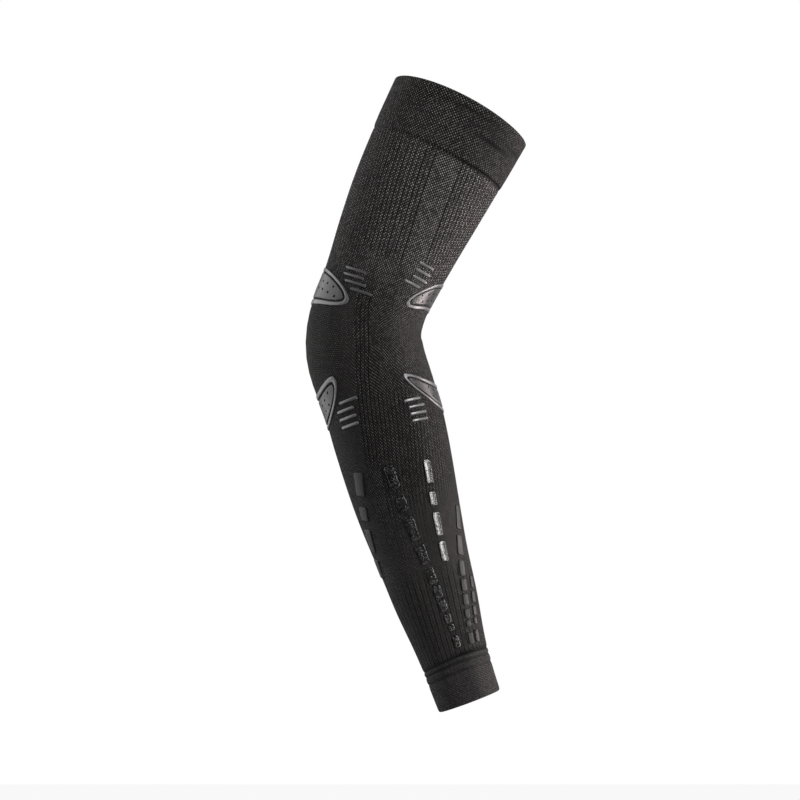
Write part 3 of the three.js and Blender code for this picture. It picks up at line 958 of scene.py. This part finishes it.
def build_grips():
    """The pads with their bars, and the rows of dashes, each in its own silicone."""
    # Pigmented and thick enough to hide the knit: a grey bead with a satin light along it
    grey = silicone_material(
        "Grey silicone print", "#636364", roughness=0.30, ior=1.8, relief=0.08)
    # Thin and half clear, so the black knit darkens it, but smooth enough to shine softly
    field = silicone_material(
        "Thin silicone print with holes", "#2c2c2d", roughness=0.30, ior=1.55, relief=0.08)
    # Thin and clear: little more than a dull grey film on the knit
    thin = silicone_material(
        "Thin clear silicone print", "#262627", roughness=0.5, ior=1.38, relief=0.08)
    # Thick and clear: the black knit shows through, and the bumpy face glitters where it is lit
    thick = silicone_material(
        "Thick clear silicone print", "#080809", roughness=0.24, ior=1.9, relief=0.18)
    for values in PADS:
        pad = dict(zip(PAD_COLUMNS, values))
        build_ring(pad, grey)
        build_field(pad, field)
        build_bars(pad, grey)
    for values in ROWS:
        row = dict(zip(ROW_COLUMNS, values))
        build_row(row, thick if row["name"] in THICK_ROWS else thin)


# The world, the lights and the camera

def build_stage():
    """A plain pale floor, a few metres below the sleeve, and a plain backdrop. They look bright, but
    throw only a little light back."""
    floor_size, drop, world_light = 80, 3, 0.065
    deselect()
    bpy.ops.mesh.primitive_plane_add(size=floor_size, location=(0, 0, 0))
    floor = bpy.context.object
    floor.name = "floor"
    move_corners(floor, corners(floor) - np.array((0, 0, drop)))
    material, tree, shader = new_material("Pale floor")
    seen = add_node(tree, "ShaderNodeLightPath").outputs["Is Camera Ray"]
    tree.links.new(seen, shader.inputs["Emission Strength"])
    shader.inputs["Emission Color"].default_value = linear("#f6f6f6")
    shader.inputs["Base Color"].default_value = linear("#808080")
    shader.inputs["Roughness"].default_value = 0.9
    floor.data.materials.append(material)

    world = bpy.data.worlds.new("studio")
    bpy.context.scene.world = world
    world.use_nodes = True
    tree = world.node_tree
    seen = add_node(tree, "ShaderNodeLightPath").outputs["Is Camera Ray"]
    strength = add_node(
        tree, "ShaderNodeMapRange", {"Value": seen, "To Min": world_light, "To Max": 1.0}).outputs[0]
    tree.links.new(strength, tree.nodes["Background"].inputs["Strength"])
    tree.nodes["Background"].inputs["Color"].default_value = (1, 1, 1, 1)


# Panel lights. azimuth: from the camera's side of the sleeve towards its right, and elevation, in
# degrees; distance, width and height in metres; power in watts; colour as sRGB hex
LIGHT_COLUMNS = ("name", "azimuth", "elevation", "distance", "width", "height", "power", "colour")
LIGHTS = (
    ("right_key", 54, 18, 1.7, 0.4, 1.3, 22, "#ffffff"),
    ("right_side", 112, -3, 1.8, 0.6, 1.5, 30, "#fff2f0"),
    ("left_side", -104, 10, 1.8, 2.4, 2.4, 31, "#ffffff"),
    ("below", 25, -50, 1.8, 2.4, 2.4, 10, "#ffffff"),
    ("back_left", -145, 5, 2.0, 1.2, 1.8, 3, "#ffffff"),
    ("back", 165, 10, 2.2, 1.6, 1.8, 4, "#ffffff"),
)


def build_lights():
    """The lights, all turned towards the middle of the sleeve."""
    target = np.array((0.02, 0, -0.04))
    for values in LIGHTS:
        box = dict(zip(LIGHT_COLUMNS, values))
        turn, rise = math.radians(box["azimuth"]), math.radians(box["elevation"])
        light = bpy.data.lights.new(box["name"], "AREA")
        light.shape = "RECTANGLE"
        light.size, light.size_y = box["width"], box["height"]
        light.energy = box["power"]
        light.color = linear(box["colour"])[:3]
        lamp = bpy.data.objects.new(box["name"], light)
        bpy.context.scene.collection.objects.link(lamp)
        level = math.cos(rise)
        direction = np.array((math.sin(turn) * level, -math.cos(turn) * level, math.sin(rise)))
        lamp.location = target + box["distance"] * direction
        lamp.rotation_euler = (math.pi / 2 - rise, 0, turn)


def build_camera():
    """The camera looks at the middle of the sleeve, a little from below."""
    target = np.array((23.3, 0, -45.5)) * MM
    distance, rise = 1.6, math.radians(-5)
    frame_width = 0.52
    data = bpy.data.cameras.new("camera")
    data.sensor_fit = "HORIZONTAL"
    data.angle = 2 * math.atan(frame_width / 2 / distance)
    camera = bpy.data.objects.new("camera", data)
    bpy.context.scene.collection.objects.link(camera)
    camera.location = target + distance * np.array((0, -math.cos(rise), math.sin(rise)))
    camera.rotation_euler = (math.pi / 2 - rise, 0, 0)
    bpy.context.scene.camera = camera


build_camera()
build_stage()
build_lights()
build_tube()
build_band()
build_cuff()
build_grips()

bpy.context.scene.view_settings.view_transform = "Standard"
